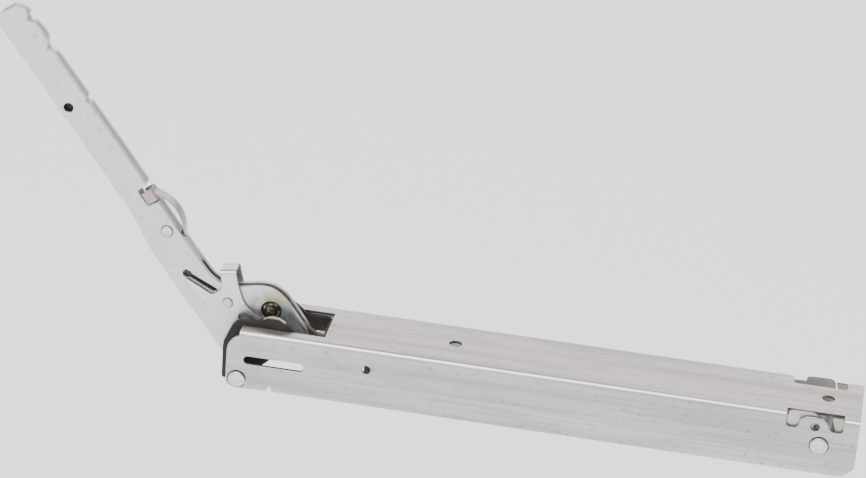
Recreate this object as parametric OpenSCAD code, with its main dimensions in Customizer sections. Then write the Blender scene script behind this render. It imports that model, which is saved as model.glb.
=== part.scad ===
// Spring-loaded lever hinge: a folded channel housing with an arm that
// swings out of one end and pulls a rod against a long compression spring.
// Frame: origin on the arm's pivot axis at mid width, +X along the channel,
// +Y to the far side wall, +Z up through the top of the channel. All in mm.

/* [Channel] */
// Length of the folded channel
channel_length = 299.5; // [292:0.5:310]
// Width over the side walls
channel_width = 38; // [38:0.5:42]
// Thickness of the channel sheet
sheet = 1.5; // [1.2:0.1:1.6]
// Diameter of the two screw holes in the top
screw_hole_d = 6; // [4:0.1:7]
// Position of the front screw hole along the channel
screw_front_x = 101; // [95:0.5:103]
// Position of the rear screw hole along the channel
screw_rear_x = 278; // [272:0.5:280]

/* [Arm] */
// Angle that the arm is turned back from lying flat, as stored
arm_turn = 53; // [53:1:53]
// Thickness of each arm plate
arm_plate_t = 2; // [1.8:0.1:2]
// Gap between the two arm plates
arm_gap = 3.2; // [3:0.1:3.2]
// Diameter of the hole near the arm's tip
tip_hole_d = 4.6; // [4:0.1:5]

/* [Spring] */
// Thickness of the spring wire
wire_d = 3; // [2.5:0.1:3.2]
// Radius to the middle of the spring wire
coil_r = 9.3; // [8.5:0.1:9.5]
// Number of coils
coils = 19; // [14:1:22]

/* [Hidden] */
$fn = 64;
fit = 0.05;                 // radial room in every round fit
x0 = -5.5;                  // front end of the side walls
x1 = x0 + channel_length;   // rear end of the channel
half_w = channel_width / 2;
wall_in = half_w - sheet;   // inner face of a side wall
z0 = -4.5;                  // foot of the side walls
z1 = 25.5;                  // top of the channel
under = z1 - sheet;         // underside of the top
pivot_r = 3;
cheek_in = 10;              // pivot bracket cheeks, inner and outer face
cheek_out = 12;
arm_half = arm_gap / 2 + arm_plate_t;
pin_u = 17.2;               // link pin, along and across the arm
pin_v = 28;
pin_x = -pin_u * cos(arm_turn) + pin_v * sin(arm_turn);
pin_z = pin_u * sin(arm_turn) + pin_v * cos(arm_turn);
end_pin_x = pin_x + 58;     // pin at the rod end of the link
end_pin_z = 14.3;
rod_z = 10.07;              // height of the spring rod
eye_x = 68.64;              // middle of the slotted eye
catch_u = 31.2;             // catch rivet on the arm
catch_v = 12.2;
catch_in = arm_half + 0.12;
catch_out = catch_in + 1.2;
link_half = 1.45;           // half the link's thickness
fork_in = 1.75;             // rod head's fork, inner and outer face
fork_out = 4.75;
seat_x = 107;               // front face of the spring seat
spring_a = 109.1;           // ends of the spring at rest
spring_b = 236;

// A closed outline from [x, y, corner size] points, with eased corners.
function eased(p, n = 5) = [for (i = [0 : len(p) - 1])
  let (b = p[i], a = p[(i + len(p) - 1) % len(p)], c = p[(i + 1) % len(p)],
       ab = [a[0] - b[0], a[1] - b[1]], cb = [c[0] - b[0], c[1] - b[1]],
       ra = min(b[2], 0.48 * norm(ab)), rc = min(b[2], 0.48 * norm(cb)),
       s = [b[0], b[1]] + ab / norm(ab) * ra, e = [b[0], b[1]] + cb / norm(cb) * rc,
       steps = b[2] > 0 ? n : 0)
  for (k = [0 : steps]) let (t = steps > 0 ? k / steps : 0)
    (1 - t) * (1 - t) * s + 2 * t * (1 - t) * [b[0], b[1]] + t * t * e];
// Arm outlines are written as (along the arm, across it); the arm lies along -X.
function on_arm(p) = [for (q = p) [-q[0], q[1], q[2]]];

// A flat plate standing along the channel, from y to y + t.
module plate(y, t) { translate([0, y + t, 0]) rotate([90, 0, 0]) linear_extrude(height = t) children(); }
// A round bar across the channel, from y to y + w.
module bar(x, z, r, y, w) { translate([x, y, z]) rotate([-90, 0, 0]) cylinder(r = r, h = w); }
// A round bar along the channel.
module rod_along(x, z, r, w) { translate([x, 0, z]) rotate([0, 90, 0]) cylinder(r = r, h = w); }
module tube(x, z, r, hole, y, w) {
  difference() { bar(x, z, r, y, w); bar(x, z, hole, y - 1, w + 2); }
}
// The same thing on the near side and the far side.
module both_sides() { children(); mirror([0, 1, 0]) children(); }
module slot2d(a, b, w) {
  d = b - a;
  translate(a) circle(d = w);
  translate(b) circle(d = w);
  translate(a) rotate(atan2(d[1], d[0])) translate([0, -w / 2]) square([norm(d), w]);
}
// A round-ended slot from a to b as one outline.
module obround(a, b, w) {
  d = b - a;
  turn = atan2(d[1], d[0]);
  polygon([for (e = [0, 1]) for (k = [0 : 10]) let (ang = turn + 90 + 180 * e + 18 * k)
    (e == 0 ? a : b) + w / 2 * [cos(ang), sin(ang)]]);
}
module on_turned_arm() { rotate([0, arm_turn, 0]) children(); }

// ---------------------------------------------------------------- housing
module channel_section() {
  bend = 2.2;
  difference() {
    union() {
      translate([-half_w, z0]) square([channel_width, z1 - z0 - bend]);
      translate([-half_w + bend, z0]) square([channel_width - 2 * bend, z1 - z0]);
      for (s = [-1, 1]) translate([s * (half_w - bend), z1 - bend]) circle(r = bend);
    }
    translate([-wall_in, z0 - 1]) square([2 * wall_in, under - z0 + 1]);
  }
}
module wall_outline() {
  polygon(eased([[x0, z0, 4], [x0, 14.6, 1.5], [x0 + 0.4, 17.4, 1.2], [x0 + 1.5, 19.9, 1.2],
    [x0 + 3.1, 21.8, 1.2], [x0 + 4.8, 22.9, 1], [0.4, 23.3, 0], [0.4, z1, 0], [x1, z1, 0],
    [x1, 0.6, 1.2], [x1 - 5, z0, 2],
    [17.2, z0, 0], [16.6, z0 + 2.3, 0.5], [15, z0 + 2.3, 0.5], [14.6, z0 - 0.6, 0],
    [9, z0 - 0.6, 1], [6.5, z0, 1]]));
}
// What is punched out of the side walls at the rear corner.
module rear_corner() {
  a = x1 - 34;
  polygon(eased([[a, z1 + 3, 0], [a, 18.3, 2.8], [a + 5.8, 18.3, 2.8], [a + 6.4, 23.6, 1.2],
    [a + 9, 24.5, 1.5], [a + 12, 24.7, 3], [a + 18.6, 24.2, 2.4], [a + 21, 18.4, 2], [a + 26.6, 18.4, 2.4],
    [a + 26.6, z1 + 3, 0]]));
}
module housing_channel() {
  color("#c9c8c6") difference() {
    intersection() {
      translate([x0 - 1, 0, 0]) rotate([90, 0, 90]) linear_extrude(height = channel_length + 2)
        channel_section();
      plate(-half_w - 1, channel_width + 2) wall_outline();
    }
    // opening that the arm swings through
    translate([x0 - 1, -12.2, under - 1]) cube([40.2 - x0 + 1, 24.4, 4]);
    // screw holes in the top
    for (x = [screw_front_x, screw_rear_x])
      translate([x, 0, under - 1]) cylinder(d = screw_hole_d, h = 4);
    both_sides() {
      plate(-half_w - 1, sheet + 2) {
        translate([0, 0]) circle(r = pivot_r + fit);
        slot2d([5, 10.7], [29.8, 10.7], 4.2);
        translate([62, 14.9]) circle(d = 4.3);
        translate([x1 - 17.5, 10.5]) circle(r = pivot_r + fit);
        translate([x1 - 20.4, 20]) circle(d = 4.3);
      }
      plate(-half_w - 1, sheet + 1.9) rear_corner();
    }
    // the top is trimmed back beside the rear bracket's ears
    translate([x1 - 34, -half_w - 1, under - 0.5]) cube([26.6, half_w + 1 - 14.2, 4]);
    translate([x1 - 32.4, 10.6, under - 0.5]) cube([24.6, half_w, 4]);
  }
}

// The pivot bracket sits inside the front of the channel and carries the pivot.
module cheek_outline() {
  polygon(eased([[-8.9, -4.4, 1.4], [-8.9, 15, 2], [-4.6, 25.2, 2], [-1.6, 27.9, 2], [6.5, 28, 2],
    [9.4, 29.2, 1.5], [12.2, 31.2, 2], [15.5, 31.8, 3], [19, 30.6, 2.5], [22.6, 27.8, 2],
    [26.5, 24.6, 2], [29, 23.9, 1], [60, 23.9, 0], [60, 17.6, 3], [30, 16, 4], [18, 12.2, 3],
    [7.4, 2.2, 2], [7.4, -4.2, 5]]));
}
module pivot_bracket() {
  color("#34312f") {
    both_sides() difference() {
      plate(-cheek_out, cheek_out - cheek_in) cheek_outline();
      bar(0, 0, pivot_r + fit, -cheek_out - 1, 4);
    }
    translate([38.6, -cheek_in, 21.9]) cube([21.4, 2 * cheek_in, 2]);
  }
}
module pivot_rivet() {
  color("#c8c7c6") {
    bar(0, 0, pivot_r, -half_w - 0.9, 2 * half_w + 1.8);
    both_sides() {
      bar(0, 0, 4.0, -half_w - 0.75, 0.75);
      bar(0, 0, 3.5, -half_w - 1.1, 0.4);
    }
  }
}
module pivot_outer_spacers() {
  color("#8d8b88") both_sides()
    tube(0, 0, 4.4, pivot_r + fit, cheek_out, wall_in - cheek_out);
}
module pivot_inner_spacers() {
  color("#8d8b88") both_sides()
    tube(0, 0, 4.5, pivot_r + fit, arm_half + 0.15, cheek_in - arm_half - 0.15);
}

// Cross plate that the front of the spring pushes on; the rod slides through it.
module spring_seat() {
  color("#a9a8a6") {
    difference() {
      translate([seat_x, -wall_in, -1]) cube([2, 2 * wall_in, under + 1]);
      rod_along(seat_x - 1, rod_z, pivot_r + fit, 4);
    }
    both_sides() translate([seat_x + 2, -wall_in, 2]) cube([12, 1.5, 18]);
    translate([seat_x + 2, -9, under - 1.5]) cube([10, 18, 1.5]);
  }
}

// Rear bracket: a U inside the end of the channel with an ear on each side.
module bracket_cheek(shift) {
  a = x1 - 34;
  polygon(eased([[a - 2, -4.3, 1], [a - 2, 23.4, 1], [a + 0.7 + shift, 23.8, 0],
    [a + 0.9 + shift, 25.9, 1.2], [a + 3 + shift, 26.5, 1], [a + 12.5 + shift, 26.6, 1.5],
    [a + 14.6 + shift, 25, 1.5], [a + 21.4, 17.4, 0.8], [a + 23.2, 17.4, 0.8],
    [a + 20.9, 25.2, 0.8], [a + 26.2, 25.2, 0.5], [a + 26.4, 23.8, 0], [a + 30, 23.8, 1],
    [a + 30, -4.3, 2]]));
}
module end_bracket() {
  color("#b9b6b2") {
    difference() {
      plate(-wall_in, 1.5) bracket_cheek(0);
      plate(-wall_in - 1, 4) {
        translate([x1 - 17.5, 10.5]) circle(r = pivot_r + fit);
        translate([x1 - 19.6, 19.2]) circle(d = 3.2);
      }
    }
    difference() {
      plate(wall_in - 1.5, 1.5) bracket_cheek(6);
      plate(wall_in - 3, 4) {
        translate([x1 - 17.5, 10.5]) circle(r = pivot_r + fit);
        translate([x1 - 19.6, 19.2]) circle(d = 3.2);
      }
    }
    translate([x1 - 35, -wall_in + 1.5, -4.3]) cube([29, 2 * wall_in - 3, 1.5]);
  }
}
module end_rivet() {
  color("#d2d1d0") {
    bar(x1 - 17.5, 10.5, pivot_r, -half_w - 0.9, 2 * half_w + 1.8);
    both_sides() {
      bar(x1 - 17.5, 10.5, 4.2, -half_w - 0.8, 0.8);
      bar(x1 - 17.5, 10.5, 3.6, -half_w - 1.15, 0.4);
    }
  }
}
module end_spacer() {
  color("#8d8b88")
    tube(x1 - 17.5, 10.5, 4.6, pivot_r + fit, -wall_in + 1.5, 2 * wall_in - 3);
}

// -------------------------------------------------------------------- arm
module arm_outline() {
  polygon(eased(on_arm([[-5.9, -5.6, 5.6], [-5.9, 3.5, 3], [-2.6, 9, 4], [-2.6, 37.6, 3.5], [20, 37.8, 6],
    [27, 34.8, 3], [31, 29.5, 4], [33.6, 23.5, 4], [37.5, 17, 5], [45, 12.4, 5], [60, 12, 3],
    [90.6, 12, 0.8], [91, 6.4, 0.6], [100, 6.4, 0.6], [100.4, 12, 0.8], [122, 12.2, 2],
    [147.4, 12, 0.6], [148.2, 10.6, 0.6], [149.6, 10.6, 0.6], [150.4, 12.2, 0.8], [176, 12, 1.5],
    [178.4, 10, 1], [180.8, 10.3, 1], [183, 12.6, 2], [188, 13.2, 3], [193.4, 12.2, 1],
    [194.6, 10.4, 0.8], [196.8, 10.4, 0.8], [198, 12.2, 0.8], [201.6, 12, 1.6], [205, 8.5, 1.6],
    [205.2, -0.4, 1.6], [202.6, -2.6, 1.2], [92, -2.6, 8], [72, -6, 8]])));
}
// Holes and slots punched through the arm.
module arm_holes(grow) {
  translate([0, 0]) circle(r = pivot_r + fit + grow);
  translate([-pin_u, pin_v]) circle(r = 4.3 + fit + grow);
  translate([-catch_u, catch_v]) circle(r = 1.5 + fit + grow);
  translate([-76, 7]) circle(r = 1.5 + fit + grow);
  translate([-151, 2]) circle(d = tip_hole_d + 2 * grow);
  translate([-53.4, 3.4]) circle(d = 4.3 + 2 * grow);
  obround([-51.5, 3.6], [-39.4, 9.9], 2.2 + 2 * grow);
}
module arm_plate() { difference() { arm_outline(); arm_holes(0); } }
module arm_plate_near() {
  color("#c3c9cf") on_turned_arm() plate(-arm_half, arm_plate_t) arm_plate();
}
module arm_plate_far() {
  color("#c3c9cf") on_turned_arm() plate(arm_gap / 2, arm_plate_t) arm_plate();
}
// Packing plate between the two arm plates. It stops short of the head, where the
// link swings in the gap, and has a pocket for the bow spring's lower end.
module arm_core() {
  color("#9da1a5") on_turned_arm() plate(-arm_gap / 2, arm_gap) difference() {
    polygon(eased(on_arm([[-5.3, -5, 5], [-5.3, 4.2, 4], [2, 6, 3], [33, 5.6, 3], [38, 11, 3],
      [44.8, 11.6, 2], [68.4, 11.6, 0], [68.6, 8, 0], [71.6, 8, 0], [71.8, 11.6, 0], [90.4, 11.6, 0],
      [90.8, 6.1, 0.5], [100.2, 6.1, 0.5], [100.6, 11.6, 0.5], [147.2, 11.6, 0.5], [148, 10.2, 0.5],
      [149.8, 10.2, 0.5], [150.6, 11.6, 0.5], [176, 11.6, 1], [178.6, 9.5, 1], [180.8, 9.8, 1],
      [183, 12.1, 2], [188, 12.7, 3], [193.2, 11.8, 1], [194.4, 10, 0.6], [197, 10, 0.6],
      [198, 11.7, 0.6], [201.4, 11.6, 1.6], [204.6, 8.3, 1.6], [204.7, -0.3, 1.6],
      [202.4, -2.2, 1.2], [92, -2.2, 8], [72, -5.6, 8]])));
    arm_holes(0);
  }
}
module arm_rivet() {
  color("#e2e6ea") on_turned_arm() {
    bar(-76, 7, 1.5, -arm_half - 0.4, 2 * arm_half + 0.8);
    both_sides() {
      bar(-76, 7, 2.7, -arm_half - 0.45, 0.45);
      bar(-76, 7, 2.0, -arm_half - 0.7, 0.4);
    }
  }
}
// Bowed strip with a saddle end that sits in the arm's notch; it presses on the
// receiver that the arm goes into.
module bow_spring() {
  bow_r = 20.2;
  bow_v = -2.6;
  w = 2.9;
  color("#a08f87") on_turned_arm() {
    // the bow that stands proud of the arm
    plate(-w, 2 * w) intersection() {
      translate([-82.6, bow_v]) difference() { circle(r = bow_r); circle(r = bow_r - 0.9); }
      translate([-97.6, 12.15]) square([28.8, 8]);
    }
    // lower end, narrowed and tucked between the plates
    plate(-0.85, 1.7) polygon([[-69.2, 12.6], [-70.6, 13.1], [-70.2, 8.6], [-69.2, 8.6]]);
    // saddle: a crosswise top with a side tab down into the notch at each end
    plate(-arm_half, 2 * arm_half) translate([-97.8, 12.1]) square([6.2, 0.9]);
    both_sides() plate(-arm_half, 0.8)
      polygon(eased(on_arm([[91.6, 12.5, 0], [97.8, 12.5, 0], [97.8, 7, 0.8], [91.6, 7, 0.8]])));
  }
}

// ------------------------------------------------------------------ catch
module catch_outline() {
  polygon(eased(on_arm([[46.7, 18.2, 0.3], [43.1, 25.2, 0.3], [39.8, 23.6, 1.5], [35.3, 21.7, 2.5],
    [30.5, 20, 2.5], [25.6, 19.2, 2], [21.2, 20.2, 2], [17.5, 21.6, 1], [14.9, 22.6, 0.7],
    [14.2, 21.2, 0.7], [17.4, 19.4, 1.5], [20.9, 18, 1.5], [23.2, 16.4, 1], [23.8, 14.4, 1],
    [22.8, 12.6, 1], [20.8, 11.8, 0.8], [20.4, 9.4, 1], [22.1, 7.5, 1.5], [28.6, 5, 3], [34.7, 2.8, 3],
    [44.3, 1.2, 2], [51.2, 0.8, 0.8], [50.9, 2, 0.5], [44, 5.2, 2], [38.8, 7.6, 1], [38.2, 9.6, 1],
    [38.6, 12.8, 2], [39.8, 14.8, 2], [42.6, 16.4, 1.5]])));
}
module catch() {
  color("#c6c5c3") on_turned_arm() {
    both_sides() difference() {
      plate(-catch_out, catch_out - catch_in) catch_outline();
      bar(-catch_u, catch_v, 1.5 + fit, -catch_out - 1, 4);
    }
    plate(-catch_out, 2 * catch_out)
      polygon([[-46.7, 18.2], [-43.1, 25.2], [-42.05, 24.65], [-45.65, 17.65]]);
  }
}
module catch_rivet() {
  color("#d6d6d6") on_turned_arm() {
    bar(-catch_u, catch_v, 1.5, -catch_out - 0.55, 2 * catch_out + 1.1);
    both_sides() {
      bar(-catch_u, catch_v, 2.3, -catch_out - 0.6, 0.55);
      bar(-catch_u, catch_v, 1.7, -catch_out - 0.85, 0.4);
    }
  }
}

// ------------------------------------------------------------------- link
module link_pin() {
  color("#6b5f52") {
    bar(pin_x, pin_z, 3, -arm_gap / 2 - 0.1, arm_gap + 0.2);
    both_sides() bar(pin_x, pin_z, 4.3, arm_gap / 2, arm_plate_t - 0.35);
  }
}
module link_outline() {
  difference() {
    polygon(eased([[pin_x - 4.8, pin_z - 3, 3], [pin_x - 4.6, pin_z + 4.4, 3],
      [pin_x + 4, pin_z + 5, 3], [pin_x + 9.4, pin_z - 0.5, 4], [pin_x + 22.6, pin_z - 10.8, 4],
      [pin_x + 32, pin_z - 12.2, 8], [end_pin_x + 4.4, end_pin_z + 4.4, 4.2],
      [end_pin_x + 4.4, end_pin_z - 4.4, 4.2], [pin_x + 24, end_pin_z - 3.2, 8],
      [pin_x + 16.5, pin_z - 15.2, 6], [pin_x + 4, pin_z - 4.8, 4], [pin_x - 2.4, pin_z - 5.4, 3]]));
    translate([pin_x, pin_z]) circle(r = 3 + fit);
    translate([end_pin_x, end_pin_z]) circle(r = 2.5 + fit);
  }
}
module link_bar() {
  color("#4a3d30") plate(-link_half, 2 * link_half) link_outline();
}
module link_end_pin() {
  color("#7d7468") {
    bar(end_pin_x, end_pin_z, 2.5, -fork_out - 0.3, 2 * fork_out + 1.7);
    bar(end_pin_x, end_pin_z, 3.6, -fork_out - 1.2, 1);
  }
}
module link_end_clip() {
  color("#8d8b88") tube(end_pin_x, end_pin_z, 4, 2.5 + fit, fork_out + 0.2, 0.9);
}

// --------------------------------------------------------- rod and spring
// The fork's eye is slotted so that the link's arc never bends the straight rod.
module rod_head() {
  color("#6f6962") {
    difference() {
      plate(-fork_out, 2 * fork_out) difference() {
        polygon(eased([[eye_x - 10, rod_z - 10.4, 4], [eye_x - 10, rod_z + 10.4, 4],
          [eye_x + 11, rod_z + 10.4, 4], [eye_x + 11, rod_z - 10.4, 4]]));
        polygon(eased([[eye_x - 4.3, rod_z - 7.5, 2.2], [eye_x - 4.3, rod_z + 7.5, 2.2],
          [eye_x + 4.3, rod_z + 7.5, 2.2], [eye_x + 4.3, rod_z - 7.5, 2.2]]));
      }
      translate([eye_x - 11, -fork_in, rod_z - 12]) cube([18, 2 * fork_in, 24]);
      rod_along(eye_x + 8, rod_z, pivot_r + fit, 4);
    }
    difference() {
      rod_along(eye_x + 10.9, rod_z, 4.8, 4.1);
      rod_along(eye_x + 8, rod_z, pivot_r + fit, 12);
    }
  }
}
module spring_rod() {
  color("#a5a29d") rod_along(eye_x + 8.1, rod_z, pivot_r, 246 - eye_x - 8.1);
}
module spring_washer() {
  color("#a9a8a6") difference() {
    rod_along(spring_b + 0.1, rod_z, 11.4, 2.5);
    rod_along(spring_b - 1, rod_z, pivot_r + fit, 5);
  }
}
module rod_nut() {
  color("#b7b2a6") difference() {
    translate([spring_b + 2.7, 0, rod_z]) rotate([0, 90, 0]) cylinder(r = 5.7, h = 4.8, $fn = 6);
    rod_along(spring_b + 2, rod_z, pivot_r + fit, 8);
  }
}
// Coiled wire as a chain of short straight lengths.
module spring() {
  steps = coils * 16;
  sides = 6;
  r = wire_d / 2;
  a = spring_a + r;
  run = spring_b - spring_a - wire_d;
  ring = [for (i = [0 : steps]) let (t = i / steps, ang = 360 * coils * t,
      grip = min(1, min(t, 1 - t) * coils / 1.5),
      x = a + run * (t < 0.5 ? t - (1 - grip) * 0.02 : t + (1 - grip) * 0.02))
    for (k = [0 : sides - 1]) let (b = 360 * k / sides, q = coil_r + r * cos(b))
      [min(max(x, a), a + run) + r * sin(b), q * cos(ang), rod_z + q * sin(ang)]];
  tiles = [for (i = [0 : steps - 1]) for (k = [0 : sides - 1])
    let (m = (k + 1) % sides, p = i * sides, n = p + sides)
    each [[p + k, n + m, n + k], [p + k, p + m, n + m]]];
  cap_a = [for (k = [1 : sides - 2]) [0, k + 1, k]];
  last = steps * sides;
  cap_b = [for (k = [1 : sides - 2]) [last, last + k, last + k + 1]];
  color("#8f8b84") polyhedron(points = ring, faces = concat(tiles, cap_a, cap_b));
}

housing_channel();
pivot_bracket();
pivot_rivet();
pivot_outer_spacers();
pivot_inner_spacers();
spring_seat();
end_bracket();
end_rivet();
end_spacer();
arm_plate_near();
arm_plate_far();
arm_core();
arm_rivet();
bow_spring();
catch();
catch_rivet();
link_pin();
link_bar();
link_end_pin();
link_end_clip();
rod_head();
spring_rod();
spring();
spring_washer();
rod_nut();
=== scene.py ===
import math
import bpy
import bmesh
from mathutils import Matrix, Vector


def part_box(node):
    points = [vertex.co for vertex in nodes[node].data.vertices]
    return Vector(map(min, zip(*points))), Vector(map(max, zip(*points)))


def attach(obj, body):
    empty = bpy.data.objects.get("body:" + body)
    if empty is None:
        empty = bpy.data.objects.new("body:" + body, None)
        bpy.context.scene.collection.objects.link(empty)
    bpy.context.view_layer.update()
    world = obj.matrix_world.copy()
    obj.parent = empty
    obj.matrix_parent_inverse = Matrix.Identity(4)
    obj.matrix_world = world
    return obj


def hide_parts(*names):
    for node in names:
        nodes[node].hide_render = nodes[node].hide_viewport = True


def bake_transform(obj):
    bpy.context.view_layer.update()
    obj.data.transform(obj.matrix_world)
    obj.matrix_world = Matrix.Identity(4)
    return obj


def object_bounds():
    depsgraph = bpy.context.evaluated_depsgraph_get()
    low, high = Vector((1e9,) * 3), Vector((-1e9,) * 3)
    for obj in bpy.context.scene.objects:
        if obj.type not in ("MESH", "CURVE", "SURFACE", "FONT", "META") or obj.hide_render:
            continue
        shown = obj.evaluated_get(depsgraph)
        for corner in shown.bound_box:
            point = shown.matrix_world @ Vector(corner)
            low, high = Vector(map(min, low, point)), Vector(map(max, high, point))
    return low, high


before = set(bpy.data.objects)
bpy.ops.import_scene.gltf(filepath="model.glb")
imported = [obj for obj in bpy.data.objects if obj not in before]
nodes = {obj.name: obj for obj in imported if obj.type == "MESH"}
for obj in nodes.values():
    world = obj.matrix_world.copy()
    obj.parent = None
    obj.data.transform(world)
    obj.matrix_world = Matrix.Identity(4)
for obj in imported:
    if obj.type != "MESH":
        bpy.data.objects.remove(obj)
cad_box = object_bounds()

MM = 0.001

# ------------------------------------------------------------------ channel housing
# One blank of 1.5 mm zinc-coated sheet, pierced flat and then folded into a
# channel that is open underneath. A painted highlight runs along the folds, the top is
# painted lighter and warmer than the walls as lit from above, and the cut edges are painted dark as shade.


class Finish:
    """A surface finish being built up in one node tree, read from the piece's own coordinates."""

    def __init__(self, name, metallic, roughness):
        self.mat = bpy.data.materials.new(name)
        self.mat.use_nodes = True
        self.tree = self.mat.node_tree
        self.shader = self.tree.nodes["Principled BSDF"]
        self.shader.inputs["Metallic"].default_value = metallic
        self.shader.inputs["Roughness"].default_value = roughness
        self.place = self.tree.nodes.new("ShaderNodeTexCoord").outputs["Object"]
        self.colour = None

    def grain(self, stretch, scale, detail=6.0, turn=0.0, start=(0, 0, 0)):
        """Noise drawn out along the directions with a small stretch; scale is per metre."""
        turned = self.tree.nodes.new("ShaderNodeMapping")
        turned.inputs["Rotation"].default_value = (0, turn, 0)
        turned.inputs["Location"].default_value = start
        drawn = self.tree.nodes.new("ShaderNodeMapping")
        drawn.inputs["Scale"].default_value = stretch
        self.tree.links.new(self.place, turned.inputs["Vector"])
        self.tree.links.new(turned.outputs["Vector"], drawn.inputs["Vector"])
        n = self.tree.nodes.new("ShaderNodeTexNoise")
        n.inputs["Scale"].default_value = scale
        n.inputs["Detail"].default_value = detail
        n.inputs["Roughness"].default_value = 0.6
        self.tree.links.new(drawn.outputs["Vector"], n.inputs["Vector"])
        return n.outputs["Fac"]

    def along(self, axis):
        """How far along the part's own x, y or z a point lies, in metres."""
        split = self.tree.nodes.new("ShaderNodeSeparateXYZ")
        self.tree.links.new(self.place, split.inputs["Vector"])
        return split.outputs[axis]

    def inside(self, axis, low, high, soft=0.0001):
        """1 between two places along x, y or z, in metres, and 0 outside them."""
        here = self.along(axis)
        return self.times(self.between(here, low - soft, low + soft),
                          self.between(here, high - soft, high + soft, 1, 0))

    def times(self, a, b):
        """Strong only where both masks are."""
        m = self.tree.nodes.new("ShaderNodeMath")
        m.operation = "MULTIPLY"
        self.tree.links.new(a, m.inputs[0])
        self.tree.links.new(b, m.inputs[1])
        return m.outputs["Value"]

    def near(self, centre, reach):
        """1 up to the first distance from a point and 0 beyond the second, in mm."""
        d = self.tree.nodes.new("ShaderNodeVectorMath")
        d.operation = "DISTANCE"
        self.tree.links.new(self.place, d.inputs[0])
        d.inputs[1].default_value = [c * MM for c in centre]
        return self.between(d.outputs["Value"], reach[0] * MM, reach[1] * MM, 1.0, 0.0)

    def spangle(self, scale):
        """The crystal flowers that molten zinc leaves on sheet."""
        v = self.tree.nodes.new("ShaderNodeTexVoronoi")
        v.inputs["Scale"].default_value = scale
        self.tree.links.new(self.place, v.inputs["Vector"])
        grey = self.tree.nodes.new("ShaderNodeRGBToBW")
        self.tree.links.new(v.outputs["Color"], grey.inputs["Color"])
        return grey.outputs["Val"]

    def between(self, value, low, high, out_low=0.0, out_high=1.0):
        """Spreads the span low to high over out_low to out_high, and holds the ends."""
        r = self.tree.nodes.new("ShaderNodeMapRange")
        r.inputs["From Min"].default_value = low
        r.inputs["From Max"].default_value = high
        r.inputs["To Min"].default_value = out_low
        r.inputs["To Max"].default_value = out_high
        self.tree.links.new(value, r.inputs["Value"])
        return r.outputs["Result"]

    def tint(self, where, colour):
        """Lays a colour over what is there, as strongly as where says."""
        mix = self.tree.nodes.new("ShaderNodeMix")
        mix.data_type = "RGBA"
        if self.colour is None:
            mix.inputs["A"].default_value = (*colour, 1)
            mix.inputs["Factor"].default_value = 0.0
        else:
            self.tree.links.new(self.colour, mix.inputs["A"])
            self.tree.links.new(where, mix.inputs["Factor"])
        mix.inputs["B"].default_value = (*colour, 1)
        self.colour = mix.outputs["Result"]
        self.tree.links.new(self.colour, self.shader.inputs["Base Color"])
        return self

    def gloss(self, value, low, high):
        """Lets the roughness wander from low to high."""
        self.tree.links.new(self.between(value, 0.25, 0.75, low, high), self.shader.inputs["Roughness"])
        return self

    def relief(self, value, depth):
        """Raises and lowers the surface by up to depth, in metres."""
        b = self.tree.nodes.new("ShaderNodeBump")
        b.inputs["Strength"].default_value = 0.6
        b.inputs["Distance"].default_value = depth
        self.tree.links.new(value, b.inputs["Height"])
        old = self.shader.inputs["Normal"].links
        if old:
            self.tree.links.new(old[0].from_socket, b.inputs["Normal"])
        self.tree.links.new(b.outputs["Normal"], self.shader.inputs["Normal"])
        return self


def eased(points, steps=5):
    """A closed outline from (x, y, corner size) points, with eased corners."""
    out = []
    most = 0.48                   # a corner takes up at most this much of the side it is on
    for i, (x, y, size) in enumerate(points):
        corner = Vector((x, y))
        back = Vector(points[i - 1][:2]) - corner
        ahead = Vector(points[(i + 1) % len(points)][:2]) - corner
        if size <= 0:
            out.append(corner)
            continue
        s = corner + back.normalized() * min(size, most * back.length)
        e = corner + ahead.normalized() * min(size, most * ahead.length)
        for k in range(steps + 1):
            t = k / steps
            out.append((1 - t) ** 2 * s + 2 * t * (1 - t) * corner + t * t * e)
    return out


def round_hole(x, y, r, sides=40):
    turns = [2 * math.pi * k / sides for k in range(sides)]
    return [Vector((x + r * math.cos(a), y + r * math.sin(a))) for a in turns]


def long_hole(a, b, r_a, r_b=None, sides=14):
    """A hole drawn out from a to b; one end may be larger, as in a keyhole."""
    a, b = Vector(a), Vector(b)
    r_b = r_a if r_b is None else r_b
    turn = math.atan2(b.y - a.y, b.x - a.x)
    neck = math.asin(min(r_a, r_b) / max(r_a, r_b)) if r_a != r_b else math.pi / 2
    half_a = math.pi - neck if r_a > r_b else math.pi / 2
    half_b = math.pi - neck if r_b > r_a else math.pi / 2
    out = []
    for centre, r, mid, half in ((a, r_a, turn + math.pi, half_a), (b, r_b, turn, half_b)):
        for k in range(sides + 1):
            t = mid - half + 2 * half * k / sides
            out.append(centre + Vector((r * math.cos(t), r * math.sin(t))))
    return out


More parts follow.
